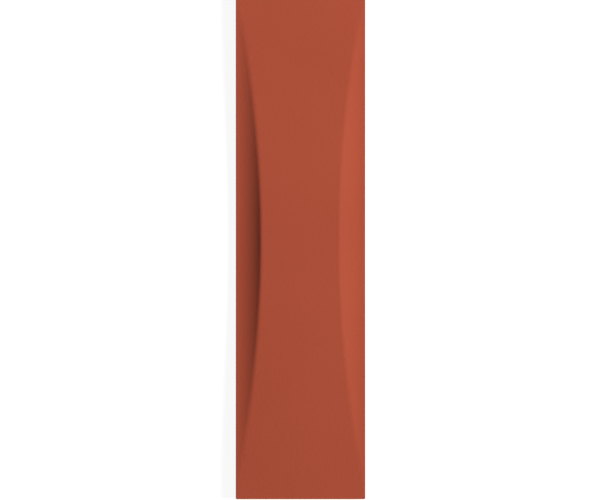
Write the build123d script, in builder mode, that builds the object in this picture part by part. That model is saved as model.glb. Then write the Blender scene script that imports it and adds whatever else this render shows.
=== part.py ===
"""A slim ceramic wall tile with a flat face that two long scoops narrow to an hourglass.

The tile lies on its back. The origin is the middle of the back, on the plane of the
ribs that the adhesive grips. +X runs across the tile, +Y along it and +Z out of its
face. Sizes are in millimetres and angles in degrees.

It was pressed and fired as one piece, so it is one solid:

    the slab      a rectangle with small rounded corners
    the scoops    a hollow along each long edge. Across the tile its floor is one arc,
                  nearly level at the edge and steepest where it meets the face. The
                  same arc is carried along the tile and sinks to its deepest point at
                  mid-length, so the crease it cuts into the face is an arc in plan.
    the edges     rounded by the glaze, more at the crease than at the arris
    the back      shallow square keys between ribs, as a pressed tile has
"""

import os
from math import cos, floor, hypot, radians, sin, sqrt, tan

from build123d import *

# Format of the tile
tile_length = 200.0
tile_width = 50.0
tile_thickness = 12.0  # from the ribs of the back to the flat face

# Scoops along the long edges
scoop_reach = 9.7  # how far the crease comes in from the long edge, at mid-length
scoop_depth = 5.4  # how far the long edge lies below the face, at mid-length
lip_slope = 3.0  # how much the scoop's floor still rises at the long edge
scoop_end_land = 3.5  # straight edge left between a scoop and the tile's end

# Rounding of the edges
crease_radius = 1.8
arris_radius = 0.25  # all round the face
corner_radius = 0.5  # upright corners
back_edge_radius = 0.4

# Keys in the back
key_side = 8.2
key_rib = 2.4  # rib between two keys
key_border = 4.0  # least plain border between the keys and the tile's edges
key_depth = 0.6
key_draft = 30.0  # slope of a key's walls, so that the press lets go
key_corner_radius = 1.0

# Room that the scoop's cutter needs outside the tile
cutter_margin = 3.0
path_stations = 41  # points along the tile that set how deep the cutter runs

half_length = tile_length / 2
half_width = tile_width / 2

# The crease in plan: one circle through both ends of the scoop and its inmost point
half_chord = half_length - scoop_end_land
plan_radius = (half_chord**2 + scoop_reach**2) / (2 * scoop_reach)

# The scoop's section: one circle from the lip, at lip_slope, up to the crest
lip_angle = radians(lip_slope)
chord_slope = Vector(1, 0).get_angle(Vector(scoop_reach, scoop_depth))
crease_slope = 2 * chord_slope - lip_slope
section_chord = hypot(scoop_reach, scoop_depth)
section_radius = section_chord / (2 * sin(radians(chord_slope - lip_slope)))


def crease_inset(y):
    """How far the crease lies in from the long edge, at y along the tile."""
    return sqrt(plan_radius**2 - y**2) - (plan_radius - scoop_reach)


def floor_rise(inset):
    """How far the scoop's floor has risen above its lip, at inset from the long edge."""
    if inset < 0:
        return inset * tan(lip_angle)
    centre_x = -section_radius * sin(lip_angle)
    centre_z = section_radius * cos(lip_angle)
    return centre_z - sqrt(section_radius**2 - (inset - centre_x) ** 2)


def lip_height(y):
    """Height of the scoop's lip above the back, so that its floor meets the face at the crease."""
    return tile_thickness - floor_rise(crease_inset(y))


# Cutter for the scoop on the +X edge: its section keeps its heading while the path
# carries it along the tile
path_end = half_length + cutter_margin
station_pitch = 2 * path_end / (path_stations - 1)
stations = [-path_end + i * station_pitch for i in range(path_stations)]

with BuildPart() as scoop_cutter:
    with BuildLine() as lip_path:
        Spline(*[(half_width, y, lip_height(y)) for y in stations])
    start = lip_path.line @ 0
    with BuildSketch(Plane(origin=start, x_dir=(-1, 0, 0), z_dir=(0, 1, 0))) as scoop_section:
        with BuildLine():
            lip_tangent = Vector(cos(lip_angle), sin(lip_angle))
            crest_tangent = Vector(cos(radians(crease_slope)), sin(radians(crease_slope)))
            outside = Line(-cutter_margin * lip_tangent, (0, 0))
            hollow = TangentArc(outside @ 1, (scoop_reach, scoop_depth), tangent=lip_tangent)
            above = Line(hollow @ 1, hollow @ 1 + cutter_margin * crest_tangent)
            cutter_top = (above @ 1).Y + cutter_margin
            Polyline(above @ 1, ((above @ 1).X, cutter_top), (-cutter_margin, cutter_top), outside @ 0)
        make_face()
    sweep(path=lip_path.wire(), normal=(0, 1, 0))

with BuildPart() as wall_tile:
    # Slab
    with BuildSketch():
        RectangleRounded(tile_width, tile_length, corner_radius)
    extrude(amount=tile_thickness)

    # Scoops
    add(scoop_cutter.part, mode=Mode.SUBTRACT)
    mirror(scoop_cutter.part, about=Plane.YZ, mode=Mode.SUBTRACT)

    # Creases, then the arris all round the face
    flat_face = wall_tile.faces().sort_by(Axis.Z)[-1]
    fillet(flat_face.edges().filter_by(GeomType.BSPLINE), radius=crease_radius)

    back_edges = wall_tile.faces().sort_by(Axis.Z)[0].edges()
    walls = wall_tile.faces().filter_by(Axis.X) + wall_tile.faces().filter_by(Axis.Y)
    walls += wall_tile.faces().filter_by(GeomType.CYLINDER)
    rim_edges = walls.edges().filter_by(Axis.Z, reverse=True) - back_edges
    fillet(rim_edges, radius=arris_radius)
    fillet(wall_tile.faces().sort_by(Axis.Z)[0].edges(), radius=back_edge_radius)

    # Keys
    key_pitch = key_side + key_rib
    key_columns = floor((tile_width - 2 * key_border + key_rib) / key_pitch)
    key_rows = floor((tile_length - 2 * key_border + key_rib) / key_pitch)
    with BuildSketch():
        with GridLocations(key_pitch, key_pitch, key_columns, key_rows):
            RectangleRounded(key_side, key_side, key_corner_radius)
    extrude(amount=key_depth, taper=key_draft, mode=Mode.SUBTRACT)

wall_tile.part.label = "wall_tile"

os.makedirs("parts", exist_ok=True)
export_step(wall_tile.part, "parts/wall_tile.step")

print(f"crease in plan: radius {plan_radius:.1f}, slope at its middle {crease_slope:.1f} degrees")
print(f"scoop's section: radius {section_radius:.2f}")
print(f"keys in the back: {key_columns} by {key_rows}")
print(f"volume {wall_tile.part.volume / 1000:.1f} cm3")
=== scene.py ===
# %% [markdown]
# # A scooped wall tile
#
# The object is one slim ceramic wall tile, 50 x 200 mm, that lies on its back. Its face is
# flat, and a long scoop along each side narrows it to an hourglass. It is covered with a
# matt brick-red glaze that runs a little way down its sides and ends in a slightly wavy
# line. Below that line, and on the keyed back, the bare fired clay shows.
#
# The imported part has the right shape, but its mesh was made for measuring: coarse triangles
# in the scoops, and one colour. This lesson builds the surface again from the formulas that
# the shape obeys, as arrays of points, with the rows and columns of the mesh following the
# crease, and then dresses it in two finishes.

import bmesh
import bpy
import numpy as np
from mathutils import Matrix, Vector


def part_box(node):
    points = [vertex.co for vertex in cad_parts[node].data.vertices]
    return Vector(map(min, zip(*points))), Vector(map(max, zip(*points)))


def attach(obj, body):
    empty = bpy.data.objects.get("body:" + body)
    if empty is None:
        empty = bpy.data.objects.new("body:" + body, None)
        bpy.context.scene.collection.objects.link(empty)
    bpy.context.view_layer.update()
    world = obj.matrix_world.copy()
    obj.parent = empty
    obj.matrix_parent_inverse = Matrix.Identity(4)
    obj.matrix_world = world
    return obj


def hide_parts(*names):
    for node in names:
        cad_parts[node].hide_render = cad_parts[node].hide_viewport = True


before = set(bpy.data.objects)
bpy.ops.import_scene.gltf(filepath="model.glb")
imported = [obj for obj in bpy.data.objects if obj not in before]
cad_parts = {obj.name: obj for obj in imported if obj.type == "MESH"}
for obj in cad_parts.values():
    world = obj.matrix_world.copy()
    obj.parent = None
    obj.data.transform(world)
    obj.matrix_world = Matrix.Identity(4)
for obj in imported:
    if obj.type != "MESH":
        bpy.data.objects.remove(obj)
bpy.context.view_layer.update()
low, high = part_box("wall_tile")

# %% [markdown]
# ## The sizes
#
# Everything is in metres. The outer size is read from the part, so that the new surface
# can't drift from it. Nearly all the other sizes are the part's own: how far the scoop
# reaches in, how deep it is, how much its floor still rises at its lip, and how round the
# arris, the corners and the back edge are. Only the two widths of the crease are this
# surface's own. The crease is one circle in plan, and the scoop's floor is one circle across
# the tile. Both circles follow from a chord and the height of the arc above it.

# %% Sizes of the tile
MM = 0.001
CM3 = 1e-6

half_width = high[0]
half_length = high[1]
thickness = high[2]

scoop_reach = 9.7 * MM
scoop_depth = 5.4 * MM
lip_slope = np.radians(3.0)
scoop_end_land = 3.5 * MM

crease_width_middle = 1.25 * MM
crease_width_end = 2.7 * MM
arris_radius = 0.25 * MM
corner_radius = 0.5 * MM
back_edge_radius = 0.4 * MM

half_chord = half_length - scoop_end_land
plan_radius = (half_chord**2 + scoop_reach**2) / (2 * scoop_reach)
chord_slope = np.arctan2(scoop_depth, scoop_reach)
section_radius = np.hypot(scoop_reach, scoop_depth) / (2 * np.sin(chord_slope - lip_slope))
print(f"crease radius in plan {plan_radius / MM:.1f} mm, scoop's section radius {section_radius / MM:.2f} mm")

# %% [markdown]
# ## The height of the face
#
# A scoop's floor is the same arc at every place along the tile. Only its height changes:
# the lip of the arc sinks until the floor meets the flat face exactly on the crease. This
# is how a cutter with a fixed profile would carve it, and it is why the scoop is deepest in
# the middle and runs out to nothing near the ends.
#
# The crease isn't sharp. The glaze bridges it, over a width that grows slowly from the
# middle of the tile towards its ends. Think of a ball inside the tile that touches both the
# flat face and the floor: the gentler the crease, the larger the ball that bridges such a
# width. Its place follows from the two circles, and the surface runs over the ball between
# the two points where it touches.

# %% Height of the scooped face
arc_inset = -section_radius * np.sin(lip_slope)
arc_height = section_radius * np.cos(lip_slope)


def crease_inset(y):
    """Circle in plan: distance of the crease from the long edge, at y along the tile."""
    return np.sqrt(plan_radius**2 - y**2) - (plan_radius - scoop_reach)


def floor_rise(inset):
    """Circle across the tile: rise of the floor above its lip. Outside the lip it goes on straight."""
    from_middle = np.clip(inset, 0.0, scoop_reach) - arc_inset
    on_arc = arc_height - np.sqrt(section_radius**2 - from_middle**2)
    return np.where(inset < 0.0, inset * np.tan(lip_slope), on_arc)


def crease_ball(y):
    """Radius of the ball in the crease, at y: the width it bridges over the sine of the floor's slope."""
    width = crease_width_middle + (crease_width_end - crease_width_middle) * np.abs(y) / half_chord
    steepness = (np.maximum(crease_inset(y), 0.0) - arc_inset) / section_radius
    return width / steepness


def crease_touches(y):
    """Insets at which the crease's ball touches the floor and the flat face, at y.

    The ball's middle lies one ball radius under the face, and one ball radius plus one
    section radius away from the middle of the floor's arc."""
    ball = crease_ball(y)
    lip = thickness - floor_rise(crease_inset(y))
    reach = section_radius + ball
    drop = lip + arc_height - (thickness - ball)
    on_face = arc_inset + np.sqrt(np.maximum(reach**2 - drop**2, 0.0))
    on_floor = arc_inset + (on_face - arc_inset) * section_radius / reach
    return on_floor, on_face


def face_height(inset, y):
    """Flat inside the crease's ball, the ball's circle over it, and the scoop's floor outside it."""
    on_floor, on_face = crease_touches(y)
    ball = crease_ball(y)
    rounded = thickness - ball + np.sqrt(np.maximum(ball**2 - (inset - on_face) ** 2, 0.0))
    scooped = thickness - floor_rise(crease_inset(y)) + floor_rise(inset)
    return np.select([inset >= on_face, inset > on_floor], [thickness, rounded], scooped)


for place in (0.0, 0.5 * half_length, 0.9 * half_length):
    on_floor, on_face = crease_touches(place)
    lip_depth = thickness - face_height(0.0, place)
    print(f"at y {place / MM:.0f} mm: scoop {lip_depth / MM:.2f} mm deep, "
          f"crease rounded from {on_floor / MM:.2f} to {on_face / MM:.2f} mm in")

# %% [markdown]
# ## The arris
#
# Where the face meets the sides, a smaller ball does the same work. It touches the upright
# side, and it touches the scoop's floor at a point that depends on the floor's slope there.
# So the slope is measured first, and the ball is hung under it.

# %% Where the arris begins
slope_step = 0.02 * MM


def arris_start(y):
    """Slope of the face at the arris, the inset at which the arris leaves it, and the ball's height.

    The slope is a difference quotient at one ball radius from the side. The arris leaves the
    face where its circle has the same slope, and the ball's middle is one radius below."""
    rise = face_height(arris_radius + slope_step, y) - face_height(arris_radius - slope_step, y)
    slope = np.arctan2(rise, 2 * slope_step)
    inset = arris_radius * (1 - np.sin(slope))
    ball_height = face_height(inset, y) - arris_radius * np.cos(slope)
    return slope, inset, ball_height


print("arris at mid-length starts", np.round(arris_start(0.0)[1] / MM, 3), "mm in,",
      np.round(np.degrees(arris_start(0.0)[0]), 2), "degrees steep")

# %% [markdown]
# ## The face as a grid
#
# A plain square grid would cut across the crease in steps, and the light would show them.
# Here the columns run with the crease instead: one strip along the edge, then the scoop's
# floor, then the rounded crease, then the flat middle. Each column is a blend between two
# guide lines. Near the tile's ends the scoop has no width left, so a soft maximum keeps the
# guide lines apart. Moving a column doesn't change the shape, because its height is worked
# out where it stands.

# %% Rows and columns of the face
face_rows = 220
floor_columns = 18
crease_columns = 9
middle_columns = 16
least_floor = 1.2 * MM
least_crease = 0.6 * MM
guide_softness = 0.3 * MM
edge_strip = corner_radius - arris_radius


def soft_max(a, b):
    """Half the sum plus half the root of the squared difference and a small square."""
    return 0.5 * (a + b + np.sqrt((a - b) ** 2 + guide_softness**2))


def column_insets(y):
    """One row of insets for each y: from the arris to the middle of the tile."""
    on_floor, on_face = crease_touches(y)
    edge = arris_start(y)[1]
    floor_end = soft_max(on_floor, edge + edge_strip + least_floor)
    crease_end = soft_max(on_face, floor_end + least_crease)
    guides = [edge, edge + edge_strip, floor_end, crease_end, np.full_like(y, half_width)]
    counts = [1, floor_columns, crease_columns, middle_columns]
    spans = []
    for begin, end, count in zip(guides[:-1], guides[1:], counts):
        share = np.linspace(0.0, 1.0, count, endpoint=False)
        spans.append(begin[:, None] + (end - begin)[:, None] * share)
    return np.hstack(spans + [guides[-1][:, None]])


inner_rows = np.linspace(-(half_length - corner_radius), half_length - corner_radius, face_rows)
row_y = np.hstack([-(half_length - arris_radius), inner_rows, half_length - arris_radius])
insets = column_insets(row_y)
left_x = insets - half_width
face_x = np.hstack([left_x, -left_x[:, -2::-1]])
face_y = np.broadcast_to(row_y[:, None], face_x.shape)
face_z = face_height(half_width - np.abs(face_x), face_y)
face_points = np.stack([face_x, face_y, face_z], axis=-1)
print("face grid:", face_points.shape[0], "rows of", face_points.shape[1], "points")

# %% [markdown]
# ## The outline that the rim follows
#
# Everything between the face and the back is one profile carried round the tile: the arris,
# the glazed side, the end of the glaze, the bare side and the back edge. The path is the
# line of the corners' middles, and the profile stands off it along a direction that turns
# through a quarter circle at each corner. Its stations are the grid's own border points, so
# that the two surfaces share their edge.

# %% Path round the tile
corner_steps = 6


def outline_path(side_y, end_x):
    """Core points and outward angles once round, starting on the right side at its lower end.

    side_y are the stations along the right side and end_x those along the upper end, both
    rising. The left side and the lower end run through them backwards."""
    core_x = half_width - corner_radius
    core_y = half_length - corner_radius
    turn = np.linspace(0.0, np.pi / 2, corner_steps + 1)[1:-1]
    corner = np.ones(len(turn))
    x = np.hstack([np.full(len(side_y), core_x), core_x * corner, end_x[::-1], -core_x * corner,
                   np.full(len(side_y), -core_x), -core_x * corner, end_x, core_x * corner])
    y = np.hstack([side_y, core_y * corner, np.full(len(end_x), core_y), core_y * corner,
                   side_y[::-1], -core_y * corner, np.full(len(end_x), -core_y), -core_y * corner])
    side = np.zeros(len(side_y))
    end = np.zeros(len(end_x))
    quarter = np.pi / 2
    angle = np.hstack([side, turn, end + quarter, turn + quarter,
                       side + 2 * quarter, turn + 2 * quarter, end + 3 * quarter, turn + 3 * quarter])
    return x, y, angle


path_x, path_y, path_angle = outline_path(row_y[1:-1], face_x[-1, 1:-1])
path_step = np.hypot(np.diff(path_x, append=path_x[0]), np.diff(path_y, append=path_y[0]))
path_turn = np.hstack([0.0, np.cumsum(path_step)[:-1]]) / path_step.sum()
print("rim path:", len(path_x), "stations")

# %% [markdown]
# ## The rim and the end of the glaze
#
# Glaze is sprayed or poured on from above and wiped off near the back, so it ends part of
# the way down the side in a line that wanders a little. The coat has a thickness: at that
# line it rolls over in a tiny bead, and the bare clay lies one coat further in. The line's
# wander is a sum of a few waves that fit a whole number of times round the tile, so that
# it closes on itself.

# %% Rim of the tile
glaze_line = 3.0 * MM
glaze_coat = 0.09 * MM
wander_waves = ((3, 0.10 * MM, 0.4), (8, 0.09 * MM, 2.1), (19, 0.06 * MM, 5.0), (47, 0.035 * MM, 1.3))
arris_steps = 7
glazed_side_steps = 8
bead_steps = 4
bare_side_steps = 4
back_edge_steps = 6


def rim_profile():
    """Insets and heights of the profile, one row a step, one column a station of the path.

    Arris: a quarter circle from the face's own slope to upright. Glazed side: straight down
    to the glaze line. Bead: a quarter circle of one coat's thickness. Bare side: straight
    down. Back edge: a quarter ellipse from the bare side to the back."""
    slope, _, ball_height = arris_start(path_y)
    line = glaze_line + sum(size * np.sin(2 * np.pi * count * path_turn + start)
                            for count, size, start in wander_waves)
    ones = np.ones_like(path_y)

    arris = slope + (np.pi / 2 - slope) * np.linspace(0.0, 1.0, arris_steps + 1)[:, None]
    down = np.linspace(0.0, 1.0, glazed_side_steps + 1)[1:, None]
    bead = np.linspace(0.0, np.pi / 2, bead_steps + 1)[1:, None]
    bare = np.linspace(0.0, 1.0, bare_side_steps + 1)[1:, None]
    foot = np.linspace(0.0, np.pi / 2, back_edge_steps + 1)[1:, None]
    bare_top = line - glaze_coat

    inset = [arris_radius * (1 - np.sin(arris)), 0 * down * ones, glaze_coat * (1 - np.cos(bead)) * ones,
             glaze_coat + 0 * bare * ones,
             (back_edge_radius - (back_edge_radius - glaze_coat) * np.cos(foot)) * ones]
    height = [ball_height + arris_radius * np.cos(arris), ball_height + (line - ball_height) * down,
              line - glaze_coat * np.sin(bead), bare_top + (back_edge_radius - bare_top) * bare,
              back_edge_radius * (1 - np.sin(foot)) * ones]
    return np.vstack(inset), np.vstack(height)


rim_inset, rim_z = rim_profile()
rim_x = path_x + (corner_radius - rim_inset) * np.cos(path_angle)
rim_y = path_y + (corner_radius - rim_inset) * np.sin(path_angle)
rim_points = np.stack([rim_x, rim_y, rim_z], axis=-1)
glazed_rows = arris_steps + glazed_side_steps + bead_steps
print("rim:", rim_points.shape[0], "rows, glaze ends between",
      round(float(rim_z[arris_steps + glazed_side_steps].min() / MM), 2), "and",
      round(float(rim_z[arris_steps + glazed_side_steps].max() / MM), 2), "mm above the back")

# %% [markdown]
# ## The keys in the back
#
# A pressed tile has shallow square keys in its back that the adhesive grips. Each key is a
# small family of rounded squares, one inside the other: flat rib, soft edge, sloping wall,
# soft foot, floor. All 72 keys are one such family plus an array of centres. The outermost
# loop is the key's share of the ribs, a plain square whose points meet the next key's.

# %% Keys
key_side = 8.2 * MM
key_rib = 2.4 * MM
key_border = 4.0 * MM
key_depth = 0.6 * MM
key_draft = np.radians(30.0)
key_corner_radius = 1.0 * MM
key_edge_radius = 0.12 * MM
key_edge_steps = 3
key_corner_steps = 4

slack = 1e-9  # what rounding may add to a length or a cosine that is compared

key_pitch = key_side + key_rib
key_columns = int((2 * half_width - 2 * key_border + key_rib) / key_pitch)
key_rows = int((2 * half_length - 2 * key_border + key_rib) / key_pitch)


def key_profile():
    """Offsets inwards from the key's mouth and heights above the ribs.

    The wall leans by the draft. The rib's edge and the wall's foot are circles that touch
    both neighbours, and turn through what is left of a right angle."""
    swing = np.pi / 2 - key_draft
    tangent = key_edge_radius * np.tan(swing / 2)
    turn = np.linspace(0.0, swing, key_edge_steps + 1)
    edge_in = -tangent + key_edge_radius * np.sin(turn)
    edge_up = key_edge_radius * (1 - np.cos(turn))
    foot = key_depth * np.tan(key_draft)
    return np.hstack([edge_in, foot - edge_in[::-1]]), np.hstack([edge_up, key_depth - edge_up[::-1]])


def key_loop_angles():
    """Signs of the four corners and the angle of each point, counter-clockwise from lower right."""
    quarter = np.linspace(0.0, np.pi / 2, key_corner_steps + 1)
    angle = (np.array([-1, 0, 1, 2])[:, None] * np.pi / 2 + quarter).ravel()
    sign_x = np.repeat([1, 1, -1, -1], len(quarter))
    sign_y = np.repeat([-1, 1, 1, -1], len(quarter))
    return sign_x, sign_y, angle


sign_x, sign_y, key_angle = key_loop_angles()
key_in, key_up = key_profile()
key_core = key_side / 2 - key_corner_radius
loop_radius = key_corner_radius - key_in[:, None]
loop_x = sign_x * key_core + loop_radius * np.cos(key_angle)
loop_y = sign_y * key_core + loop_radius * np.sin(key_angle)

# The square round the key: each point of the mouth pushed out to the nearer side of the
# square, and the middle one of each corner into the square's corner.
diagonal = np.sqrt(0.5) - slack
share_x = np.where(np.abs(np.cos(key_angle)) >= diagonal, sign_x * key_pitch / 2, loop_x[0])
share_y = np.where(np.abs(np.sin(key_angle)) >= diagonal, sign_y * key_pitch / 2, loop_y[0])
one_key = np.stack([np.vstack([share_x, loop_x]), np.vstack([share_y, loop_y]),
                    np.vstack([0 * share_x, key_up[:, None] + 0 * loop_x])], axis=-1)

centre_x = (np.arange(key_columns) - (key_columns - 1) / 2) * key_pitch
centre_y = (np.arange(key_rows) - (key_rows - 1) / 2) * key_pitch
centres = np.stack(np.meshgrid(centre_x, centre_y), axis=-1).reshape(-1, 2)
key_points = one_key[None] + np.pad(centres, ((0, 0), (0, 1)))[:, None, None, :]
print("keys:", len(centres), "of", one_key.shape[0], "loops with", one_key.shape[1], "points")

# %% [markdown]
# ## One closed mesh
#
# The pieces are now put together. A grid of points becomes quads by pairing each index with
# its neighbours. The flat band between the keys and the back edge joins two loops with
# different numbers of points. It is zipped: the points of both loops are sorted by how far
# round they are, and each one makes a triangle with the last point passed on the other side.

# %% Faces between rows of points


def grid_quads(first, rows, columns, closed):
    """Index arrays: each point with its right, upper right and upper neighbour."""
    across = columns if closed else columns - 1
    row, column = np.meshgrid(np.arange(rows - 1), np.arange(across), indexing="ij")
    after = (column + 1) % columns
    here = first + row * columns
    return np.stack([here + column, here + after, here + columns + after, here + columns + column],
                    axis=-1).reshape(-1, 4)


def way_round(points):
    """0 to 4 once round a rectangle, one unit a side, from the lower right corner."""
    u = points[:, 0] / np.abs(points[:, 0]).max()
    v = points[:, 1] / np.abs(points[:, 1]).max()
    on_side = np.abs(u) >= np.abs(v)
    right_left = np.where(u > 0, (v + 1) / 2, 2 + (1 - v) / 2)
    upper_lower = np.where(v > 0, 1 + (1 - u) / 2, 3 + (u + 1) / 2)
    return np.where(on_side, right_left, upper_lower) % 4.0


def zip_loops(outer, outer_way, inner, inner_way):
    """Triangles between two closed loops, from the sorted order of all their points.

    Counting the points passed so far on each loop gives the two that face each other."""
    outer = outer[np.argsort(outer_way, kind="stable")]
    inner = inner[np.argsort(inner_way, kind="stable")]
    ways = np.hstack([np.sort(outer_way), np.sort(inner_way)])
    is_outer = (np.arange(len(ways)) < len(outer))[np.argsort(ways, kind="stable")]
    at_outer = np.cumsum(is_outer) - 1
    at_inner = np.cumsum(~is_outer) - 1
    before = np.where(is_outer, outer[(at_outer - 1) % len(outer)], inner[(at_inner - 1) % len(inner)])
    here_outer = outer[at_outer % len(outer)]
    here_inner = inner[at_inner % len(inner)]
    return np.stack([before, here_outer, here_inner], axis=-1)


# %% Put the surface together
GLAZE = 0
CLAY = 1
way_digits = 9  # enough to see that two neighbouring keys share a point of the border

rows, columns = face_points.shape[:2]
stations = rim_points.shape[1]
rim_first = rows * columns
key_first = rim_first + rim_points.shape[0] * stations
loops, loop_length = one_key.shape[:2]
key_size = loops * loop_length

# Corners of the face: the grid's corner point moves onto the middle of the rim's first arc.
# corner_start holds the stations at which the four corners of the path begin.
side_stations = rows - 2
end_stations = columns - 2
corner_start = np.array([side_stations - 1, side_stations + end_stations + corner_steps - 2])
corner_start = np.hstack([corner_start, corner_start + side_stations + end_stations + 2 * corner_steps - 2])
corner_arc = (corner_start[:, None] + np.arange(corner_steps + 1)) % stations
corner_cell = np.array([[rows - 1, columns - 1], [rows - 1, 0], [0, 0], [0, columns - 1]])
inner_cell = np.array([[rows - 2, columns - 2], [rows - 2, 1], [1, 1], [1, columns - 2]])
face_points[corner_cell[:, 0], corner_cell[:, 1]] = rim_points[0, corner_arc[:, corner_steps // 2]]
corner_polygons = np.hstack([inner_cell[:, :1] * columns + inner_cell[:, 1:], rim_first + corner_arc])

face_quads = grid_quads(0, rows, columns, closed=False).reshape(rows - 1, columns - 1, 4)
inside = np.ones((rows - 1, columns - 1), bool)
inside[np.ix_([0, -1], [0, -1])] = False
face_quads = face_quads[inside]
rim_quads = grid_quads(rim_first, rim_points.shape[0], stations, closed=True)
key_quads = grid_quads(key_first, loops, loop_length, closed=True)
key_quads = (key_quads[None] + key_size * np.arange(len(centres))[:, None, None]).reshape(-1, 4)
key_floors = key_first + key_size * np.arange(len(centres))[:, None] + (loops - 1) * loop_length
key_floors = key_floors + np.arange(loop_length)

# Border of the keys: the points of the outermost loops that lie on the lattice's outline.
# Neighbours share some of them, and each way round is kept once.
share_index = key_first + key_size * np.arange(len(centres))[:, None] + np.arange(loop_length)
share_points = key_points[:, 0].reshape(-1, 3)
far = np.abs(share_points[:, :2]) - np.array([key_columns, key_rows]) * key_pitch / 2
on_border = far.max(axis=1) > -slack
border_index = share_index.ravel()[on_border]
border_way = np.round(way_round(share_points[on_border]), way_digits)
border_way, first_seen = np.unique(border_way, return_index=True)
border_index = border_index[first_seen]

back_edge_index = rim_first + (rim_points.shape[0] - 1) * stations + np.arange(stations)
back_band = zip_loops(back_edge_index, way_round(rim_points[-1]), border_index, border_way)

points = np.vstack([face_points.reshape(-1, 3), rim_points.reshape(-1, 3), key_points.reshape(-1, 3)])
glazed_rim = rim_quads[: glazed_rows * stations]
bare_rim = rim_quads[glazed_rows * stations:]
groups = [(face_quads, GLAZE), (corner_polygons, GLAZE), (glazed_rim, GLAZE), (bare_rim, CLAY),
          (key_quads, CLAY), (key_floors, CLAY), (back_band, CLAY)]
polygons = sum([group.tolist() for group, _ in groups], [])
finishes = np.hstack([np.full(len(group), finish) for group, finish in groups])
print("points:", len(points), "faces:", len(polygons))

# %% [markdown]
# ## From arrays to an object
#
# `from_pydata` takes the points and the index lists. Points that two surfaces share are
# merged, and the faces are turned outwards, which is safe because the surface is closed.
# Two numbers test this. Every edge has exactly two faces, and the volume falls short of the
# part's by less than a fifth of a percent, mostly the coat that the bare clay goes without.

# %% Make the tile
weld_distance = 0.5e-6
sharp_angle = np.radians(35.0)

tile_mesh = bpy.data.meshes.new("glazed_tile")
tile_mesh.from_pydata(points.tolist(), [], polygons)
tile_mesh.polygons.foreach_set("material_index", finishes.astype(np.int32))

surface = bmesh.new()
surface.from_mesh(tile_mesh)
bmesh.ops.remove_doubles(surface, verts=surface.verts, dist=weld_distance)
bmesh.ops.recalc_face_normals(surface, faces=surface.faces)
volume = surface.calc_volume(signed=True)
surface.to_mesh(tile_mesh)
surface.free()

tile_mesh.polygons.foreach_set("use_smooth", np.ones(len(tile_mesh.polygons), bool))
tile_mesh.set_sharp_from_angle(angle=sharp_angle)
tile_mesh.update()

glazed_tile = bpy.data.objects.new("glazed_tile", tile_mesh)
bpy.context.scene.collection.objects.link(glazed_tile)
weighting = glazed_tile.modifiers.new("Even shading", "WEIGHTED_NORMAL")
weighting.keep_sharp = True

edge_of_corner = np.empty(len(tile_mesh.loops), np.int32)
tile_mesh.loops.foreach_get("edge_index", edge_of_corner)
faces_at_edge = np.bincount(edge_of_corner, minlength=len(tile_mesh.edges))
part_surface = bmesh.new()
part_surface.from_mesh(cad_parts["wall_tile"].data)
part_volume = part_surface.calc_volume(signed=True)
part_surface.free()
triangles = len(tile_mesh.loops) - 2 * len(tile_mesh.polygons)
print("closed:", bool((faces_at_edge == 2).all()), "triangles:", triangles)
print(f"volume {volume / CM3:.2f} cm3, the part's {part_volume / CM3:.2f} cm3")

# %% [markdown]
# ## The grain of fired surfaces
#
# Both finishes are fired clay or glass, and both show the same three things at their own
# strength: broad cloudy drifts of tone, fine specks, and a low uneven relief. So the three
# are one node group, made once, with the sizes of cloud, speck and relief as its inputs. It
# reads Object coordinates in metres, so a size of 0.0006 is 0.6 mm on the tile.

# %% Group: fired grain


def add_node(tree, kind, **settings):
    """A new node with its settings made by name."""
    node = tree.nodes.new(kind)
    for name, value in settings.items():
        setattr(node, name, value)
    return node


def make_fired_grain():
    """Node group: three noises of the object's own coordinates, each brought to 0 to 1."""
    group = bpy.data.node_groups.new("Fired grain", "ShaderNodeTree")
    for name, default in (("Cloud Size", 30 * MM), ("Speck Size", 0.6 * MM), ("Relief Size", 0.4 * MM)):
        socket = group.interface.new_socket(name, in_out="INPUT", socket_type="NodeSocketFloat")
        socket.default_value = default
    for name in ("Cloud", "Speck", "Relief"):
        group.interface.new_socket(name, in_out="OUTPUT", socket_type="NodeSocketFloat")
    inlet = add_node(group, "NodeGroupInput")
    outlet = add_node(group, "NodeGroupOutput")
    where = add_node(group, "ShaderNodeTexCoord")
    for name, detail, low_end, high_end in (("Cloud", 3.0, 0.3, 0.7), ("Speck", 2.0, 0.35, 0.65),
                                            ("Relief", 4.0, 0.2, 0.8)):
        per_metre = add_node(group, "ShaderNodeMath", operation="DIVIDE")
        per_metre.inputs[0].default_value = 1.0
        noise = add_node(group, "ShaderNodeTexNoise")
        noise.inputs["Detail"].default_value = detail
        spread = add_node(group, "ShaderNodeMapRange")
        spread.inputs["From Min"].default_value = low_end
        spread.inputs["From Max"].default_value = high_end
        group.links.new(inlet.outputs[name + " Size"], per_metre.inputs[1])
        group.links.new(where.outputs["Object"], noise.inputs["Vector"])
        group.links.new(per_metre.outputs[0], noise.inputs["Scale"])
        group.links.new(noise.outputs[0], spread.inputs["Value"])
        group.links.new(spread.outputs[0], outlet.inputs[name])
    return group


fired_grain = make_fired_grain()
print("group:", fired_grain.name, [item.name for item in fired_grain.interface.items_tree])

# %% [markdown]
# ## Matt glaze and bare clay
#
# The glaze is opaque and dead matt, so nearly all its light is scattered. Its tone drifts by
# a percent or two over a few centimetres. Its skin rises and falls by a few hundredths of a
# millimetre over each millimetre or so, as a sprayed glaze does, and this keeps it from
# looking like plastic. The bare clay is paler and pinker, with a finer and steeper grain and
# stronger specks. Each material builds its colour from two tones, mixes them by the group's
# masks, and sends the relief through a Bump node.

# %% Two finishes


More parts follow.
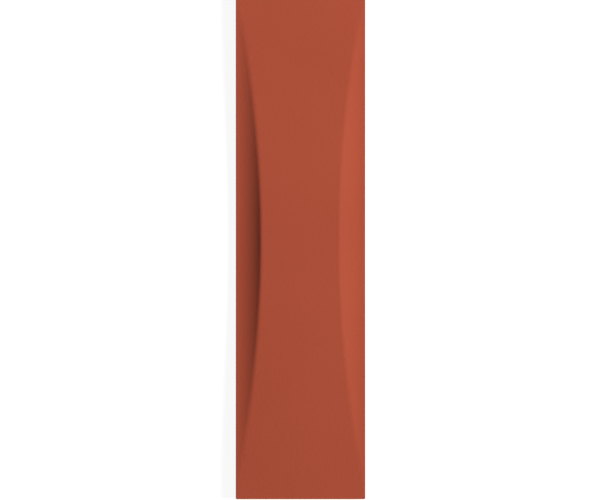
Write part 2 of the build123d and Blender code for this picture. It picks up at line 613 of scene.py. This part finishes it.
def fired_finish(name, tones, cloud_share, speck_share, roughness, specular, relief_height, sizes):
    """A material whose colour runs between two tones, by clouds and by specks added up."""
    material = bpy.data.materials.new(name)
    material.use_nodes = True
    tree = material.node_tree
    shader = tree.nodes["Principled BSDF"]
    shader.inputs["Specular IOR Level"].default_value = specular
    grain = add_node(tree, "ShaderNodeGroup", node_tree=fired_grain)
    for socket, size in zip(("Cloud Size", "Speck Size", "Relief Size"), sizes):
        grain.inputs[socket].default_value = size

    clouds = add_node(tree, "ShaderNodeMath", operation="MULTIPLY")
    clouds.inputs[1].default_value = cloud_share
    specks = add_node(tree, "ShaderNodeMath", operation="MULTIPLY_ADD")
    specks.inputs[1].default_value = speck_share
    tone = add_node(tree, "ShaderNodeMix", data_type="RGBA")
    tone.inputs["A"].default_value = (*tones[0], 1.0)
    tone.inputs["B"].default_value = (*tones[1], 1.0)
    tree.links.new(grain.outputs["Cloud"], clouds.inputs[0])
    tree.links.new(grain.outputs["Speck"], specks.inputs[0])
    tree.links.new(clouds.outputs[0], specks.inputs[2])
    tree.links.new(specks.outputs[0], tone.inputs["Factor"])
    tree.links.new(tone.outputs["Result"], shader.inputs["Base Color"])

    rough = add_node(tree, "ShaderNodeMapRange")
    rough.inputs["To Min"].default_value = roughness[0]
    rough.inputs["To Max"].default_value = roughness[1]
    tree.links.new(grain.outputs["Speck"], rough.inputs["Value"])
    tree.links.new(rough.outputs[0], shader.inputs["Roughness"])

    relief = add_node(tree, "ShaderNodeBump")
    relief.inputs["Distance"].default_value = relief_height
    tree.links.new(grain.outputs["Relief"], relief.inputs["Height"])
    tree.links.new(relief.outputs["Normal"], shader.inputs["Normal"])
    return material


matt_glaze = fired_finish(
    "Matt brick-red glaze", tones=((0.381, 0.0610, 0.0257), (0.411, 0.0690, 0.0297)),
    cloud_share=0.6, speck_share=0.4, roughness=(0.92, 1.0), specular=0.5,
    relief_height=0.05 * MM, sizes=(35 * MM, 0.6 * MM, 1.2 * MM))
bare_clay = fired_finish(
    "Bare fired clay", tones=((0.43, 0.22, 0.13), (0.60, 0.36, 0.24)),
    cloud_share=0.35, speck_share=0.65, roughness=(0.92, 1.0), specular=0.5,
    relief_height=0.05 * MM, sizes=(18 * MM, 0.7 * MM, 0.5 * MM))
tile_mesh.materials.append(matt_glaze)
tile_mesh.materials.append(bare_clay)
print("finishes:", [material.name for material in tile_mesh.materials])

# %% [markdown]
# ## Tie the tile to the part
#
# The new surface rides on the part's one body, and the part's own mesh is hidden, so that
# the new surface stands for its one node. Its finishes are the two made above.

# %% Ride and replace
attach(glazed_tile, "root")
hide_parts("wall_tile")
print("ways to the part:", glazed_tile.name, "replaces wall_tile on root")

# %% [markdown]
# ## Floor and surroundings
#
# The tile lies on a white floor in a white room. Seen by the camera, or mirrored in the
# tile, floor and world are white. What they send onto the tile as light is much dimmer: the
# world gives next to nothing, and the floor throws back nearly half of what the lamp gives
# it. So the scoop that turns away from the lamp stays dark, while the upright sides, which
# see more of the floor, are lit softly from below. Close to the tile the floor shows a trace
# of its shadow. Further out the glow takes over, and the floor runs into the white of the
# world without a line.

# %% White floor and white world
floor_half = 6.0
floor_drop = 0.05 * MM
floor_bounce = 0.40
shadow_strength = 0.25
fill_light = 0.01
glow_near = 0.93
glow_radii = (0.25, 0.8)


def seen_directly(tree):
    """1 for camera, glossy and transmission rays, else 0: the largest of three Light Path values."""
    path = add_node(tree, "ShaderNodeLightPath")
    first = add_node(tree, "ShaderNodeMath", operation="MAXIMUM")
    second = add_node(tree, "ShaderNodeMath", operation="MAXIMUM")
    tree.links.new(path.outputs["Is Camera Ray"], first.inputs[0])
    tree.links.new(path.outputs["Is Glossy Ray"], first.inputs[1])
    tree.links.new(first.outputs[0], second.inputs[0])
    tree.links.new(path.outputs["Is Transmission Ray"], second.inputs[1])
    return second.outputs[0]


def make_floor():
    """One large square, and a material that glows white towards the camera."""
    corners = floor_half * np.array([[-1, -1], [1, -1], [1, 1], [-1, 1]])
    corners = np.pad(corners, ((0, 0), (0, 1)), constant_values=-floor_drop)
    mesh = bpy.data.meshes.new("floor")
    mesh.from_pydata(corners.tolist(), [], [[0, 1, 2, 3]])
    floor = bpy.data.objects.new("floor", mesh)
    bpy.context.scene.collection.objects.link(floor)

    material = bpy.data.materials.new("White floor")
    material.use_nodes = True
    tree = material.node_tree
    tree.nodes.clear()
    outlet = add_node(tree, "ShaderNodeOutputMaterial")
    lit = add_node(tree, "ShaderNodeBsdfDiffuse")
    lit.inputs["Color"].default_value = (floor_bounce, floor_bounce, floor_bounce, 1.0)
    shadowed = add_node(tree, "ShaderNodeBsdfDiffuse")
    shadowed.inputs["Color"].default_value = (shadow_strength, shadow_strength, shadow_strength, 1.0)
    glow = add_node(tree, "ShaderNodeEmission")
    both = add_node(tree, "ShaderNodeAddShader")
    choose = add_node(tree, "ShaderNodeMixShader")
    where = add_node(tree, "ShaderNodeTexCoord")
    distance = add_node(tree, "ShaderNodeVectorMath", operation="LENGTH")
    reach = add_node(tree, "ShaderNodeMapRange")
    reach.inputs["From Min"].default_value = glow_radii[0]
    reach.inputs["From Max"].default_value = glow_radii[1]
    reach.inputs["To Min"].default_value = glow_near
    reach.inputs["To Max"].default_value = 1.0
    tree.links.new(where.outputs["Object"], distance.inputs[0])
    tree.links.new(distance.outputs["Value"], reach.inputs["Value"])
    tree.links.new(reach.outputs[0], glow.inputs["Strength"])
    tree.links.new(shadowed.outputs[0], both.inputs[0])
    tree.links.new(glow.outputs[0], both.inputs[1])
    tree.links.new(seen_directly(tree), choose.inputs[0])
    tree.links.new(lit.outputs[0], choose.inputs[1])
    tree.links.new(both.outputs[0], choose.inputs[2])
    tree.links.new(choose.outputs[0], outlet.inputs["Surface"])
    mesh.materials.append(material)
    return floor


def make_world():
    """White where it is seen, and a dim even fill where it lights."""
    world = bpy.data.worlds.new("White room")
    world.use_nodes = True
    tree = world.node_tree
    background = tree.nodes["Background"]
    background.inputs["Color"].default_value = (1.0, 1.0, 1.0, 1.0)
    level = add_node(tree, "ShaderNodeMapRange")
    level.inputs["To Min"].default_value = fill_light
    level.inputs["To Max"].default_value = 1.0
    tree.links.new(seen_directly(tree), level.inputs["Value"])
    tree.links.new(level.outputs[0], background.inputs["Strength"])
    bpy.context.scene.world = world
    return world


floor = make_floor()
world = make_world()
print("stage:", floor.name, "and", world.name)

# %% [markdown]
# ## Light and camera
#
# The tile is lit by one soft lamp straight from the right, 31 degrees off the vertical: the
# left scoop turns away from it and goes dark, and the right one faces it. An area lamp is
# brightest along its own axis. Aimed at a point beyond the tile's upper end, it lights that
# end a little more than the lower one, and the scoops stay alike from end to end. Its power
# follows from its distance and from how far off its axis the tile lies, so that a colour on
# the flat face renders about as it is written. The camera looks straight down through a
# long lens. Its height follows from the tile's width in the picture.

# %% Key light
key_share = 0.94
lamp_run = 0.61
lamp_distance = 1.5
lamp_size = 0.60
lamp_target = np.array([0.0, 1.5, thickness])

lamp_height = lamp_distance / np.hypot(1.0, lamp_run)
to_face = np.array([lamp_run * lamp_height, 0.0, lamp_height])
lamp_place = to_face + np.array([0.0, 0.0, thickness])
lamp_axis = lamp_place - lamp_target
facing_lamp = lamp_height / lamp_distance
off_axis = to_face @ lamp_axis / (lamp_distance * np.linalg.norm(lamp_axis))
lamp_data = bpy.data.lights.new("key_light", "AREA")
lamp_data.shape = "DISK"
lamp_data.size = lamp_size
lamp_data.energy = key_share * np.pi**2 * lamp_distance**2 / (facing_lamp * off_axis)
lamp = bpy.data.objects.new("key_light", lamp_data)
lamp.location = lamp_place
bpy.context.scene.collection.objects.link(lamp)


def aim(looker, target):
    """Turns an object so that its own -Z points at the target."""
    looker.rotation_euler = (Vector(target) - looker.location).to_track_quat("-Z", "Y").to_euler()


aim(lamp, lamp_target)
print(f"lamp: {lamp_data.energy:.2f} W at {lamp_distance:.2f} m, "
      f"{np.degrees(np.arctan(lamp_run)):.0f} degrees off the vertical")

# %% Camera
picture_width = 600
tile_width_in_picture = 129.4
tile_middle_in_picture = (300.55, 240.2)
picture_middle = (300.0, 250.0)
scale_plane = 9.0 * MM

pixel = 2 * half_width / tile_width_in_picture
camera_data = bpy.data.cameras.new("camera")
camera_data.lens = 600.0
camera_data.sensor_width = 36.0
camera = bpy.data.objects.new("camera", camera_data)
camera_height = picture_width * pixel * camera_data.lens / camera_data.sensor_width
camera.location = ((picture_middle[0] - tile_middle_in_picture[0]) * pixel,
                   (tile_middle_in_picture[1] - picture_middle[1]) * pixel,
                   scale_plane + camera_height)
bpy.context.scene.collection.objects.link(camera)
bpy.context.scene.camera = camera
bpy.context.scene.view_settings.view_transform = "Standard"
print("camera at", [round(v, 4) for v in camera.location], "looking straight down")
